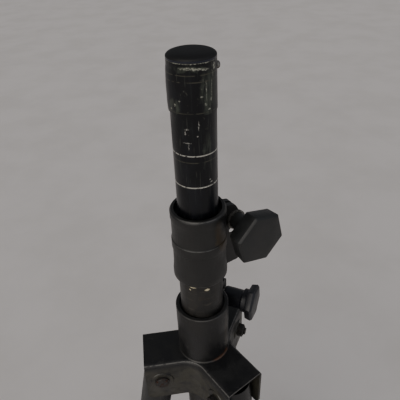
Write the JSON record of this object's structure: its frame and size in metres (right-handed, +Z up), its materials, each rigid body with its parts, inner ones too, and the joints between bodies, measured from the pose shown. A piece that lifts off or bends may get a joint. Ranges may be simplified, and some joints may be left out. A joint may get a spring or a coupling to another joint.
{
  "type": "tripod pole stand",
  "caption": "Tripod stand with a telescoping pole in a knob-clamped collar and a sliding three-lobed hub that spreads braced legs on round rubber feet.",
  "frame": {"origin": "on the pole axis at floor level, under the middle of the tube", "axes": "+Z up along the pole, -Y toward the front, the left leg near -X"},
  "size_m": [0.3399, 0.3646, 1.1356],
  "materials": {
    "worn_pole_paint": "satin, worn through to bare metal",
    "worn_tube_paint": "scuffed satin",
    "hub_enamel": "semi-matte, edges rubbed",
    "leg_paint": "semi-matte",
    "collar_nylon": "matte moulded",
    "knob_plastic": "matte moulded",
    "liner_plastic": "smooth",
    "cap_plastic": "matte",
    "foot_rubber": "matte",
    "rusty_steel": "zinc plate gone rusty",
    "zinc_steel": "dull zinc plate",
    "brace_steel": "semi-matte"
  },
  "bodies": {
    "main_tube": {"main_tube": "worn_tube_paint", "tube_end_plug": "cap_plastic", "collar": "collar_nylon", "collar_bush": "liner_plastic", "collar_rivets": "rusty_steel", "lower_bracket": "hub_enamel", "bracket_screws": "rusty_steel", "collar_clamp_nut": "rusty_steel"},
    "collar_knob": {"collar_knob": "knob_plastic", "collar_knob_stud": "zinc_steel", "collar_knob_washer": "zinc_steel"},
    "pole_glide": {"pole_glide": "liner_plastic"},
    "pole": {"inner_pole": "worn_pole_paint", "pole_ferrule": "worn_pole_paint", "ferrule_rivets": "zinc_steel", "pole_cap": "cap_plastic"},
    "hub": {"hub_shell": "hub_enamel", "hub_sleeve": "hub_enamel", "hub_liner": "liner_plastic", "pivot_bolts": "rusty_steel", "pivot_nuts": "rusty_steel", "hub_clamp_nut": "rusty_steel"},
    "hub_knob": {"hub_knob": "knob_plastic", "hub_knob_stud": "zinc_steel", "hub_knob_washer": "zinc_steel"},
    "left_leg": {"left_leg": "leg_paint", "left_leg_bush": "liner_plastic", "left_foot": "foot_rubber", "left_brace_rivet": "zinc_steel"},
    "left_brace": {"left_brace_a": "brace_steel", "left_brace_b": "brace_steel", "left_bracket_pin": "zinc_steel"},
    "right_leg": {"right_leg": "leg_paint", "right_leg_bush": "liner_plastic", "right_foot": "foot_rubber", "right_brace_rivet": "zinc_steel"},
    "right_brace": {"right_brace_a": "brace_steel", "right_brace_b": "brace_steel", "right_bracket_pin": "zinc_steel"},
    "rear_leg": {"rear_leg": "leg_paint", "rear_leg_bush": "liner_plastic", "rear_foot": "foot_rubber", "rear_brace_rivet": "zinc_steel"},
    "rear_brace": {"rear_brace_a": "brace_steel", "rear_brace_b": "brace_steel", "rear_bracket_pin": "zinc_steel"}
  },
  "joints": [
    {"name": "pole_slide", "type": "slide", "parent": "main_tube", "child": "pole_glide", "axis": [0, 0, 1], "range_m": [-0.08, 0.6]},
    {"name": "pole_turn", "type": "hinge", "parent": "pole_glide", "child": "pole", "pos_m": [0, 0, 0.266], "axis": [0, 0, 1], "continuous": true},
    {"name": "collar_knob_turn", "type": "hinge", "parent": "main_tube", "child": "collar_knob", "pos_m": [0.02874, 0.01817, 0.9815], "axis": [0.5344, -0.8453, 0], "continuous": true},
    {"name": "hub_slide", "type": "slide", "parent": "main_tube", "child": "hub", "axis": [0, 0, -1], "range_m": [0, 0.10899]},
    {"name": "hub_knob_turn", "type": "hinge", "parent": "hub", "child": "hub_knob", "pos_m": [0.01515, 0.03485, 0.864], "axis": [0.9171, -0.3987, 0], "continuous": true},
    {"name": "left_leg_swing", "type": "hinge", "parent": "hub", "child": "left_leg", "pos_m": [-0.04819, -0.00549, 0.8005], "axis": [-0.1132, 0.9936, 0], "range_deg": [-0.5, 26.5]},
    {"name": "left_brace_swing", "type": "hinge", "parent": "left_leg", "child": "left_brace", "pos_m": [-0.10167, -0.01158, 0.49521], "axis": [-0.1132, 0.9936, 0], "range_deg": [-52.5, 0.5]},
    {"name": "right_leg_swing", "type": "hinge", "parent": "hub", "child": "right_leg", "pos_m": [0.02885, -0.03899, 0.8005], "axis": [-0.8039, -0.5948, 0], "range_deg": [-0.5, 26.5]},
    {"name": "right_brace_swing", "type": "hinge", "parent": "right_leg", "child": "right_brace", "pos_m": [0.06087, -0.08226, 0.49521], "axis": [-0.8039, -0.5948, 0], "range_deg": [-52.5, 0.5]},
    {"name": "rear_leg_swing", "type": "hinge", "parent": "hub", "child": "rear_leg", "pos_m": [0.01934, 0.04448, 0.8005], "axis": [0.9171, -0.3987, 0], "range_deg": [-0.5, 26.5]},
    {"name": "rear_brace_swing", "type": "hinge", "parent": "rear_leg", "child": "rear_brace", "pos_m": [0.0408, 0.09384, 0.49521], "axis": [0.9171, -0.3987, 0], "range_deg": [-52.5, 0.5]}
  ],
  "couplings": [
    {"joint": "left_leg_swing", "follows": "hub_slide", "rad_per_m": 4.1635},
    {"joint": "left_brace_swing", "follows": "hub_slide", "rad_per_m": -8.3271},
    {"joint": "right_leg_swing", "follows": "hub_slide", "rad_per_m": 4.1635},
    {"joint": "right_brace_swing", "follows": "hub_slide", "rad_per_m": -8.3271},
    {"joint": "rear_leg_swing", "follows": "hub_slide", "rad_per_m": 4.1635},
    {"joint": "rear_brace_swing", "follows": "hub_slide", "rad_per_m": -8.3271}
  ]
}
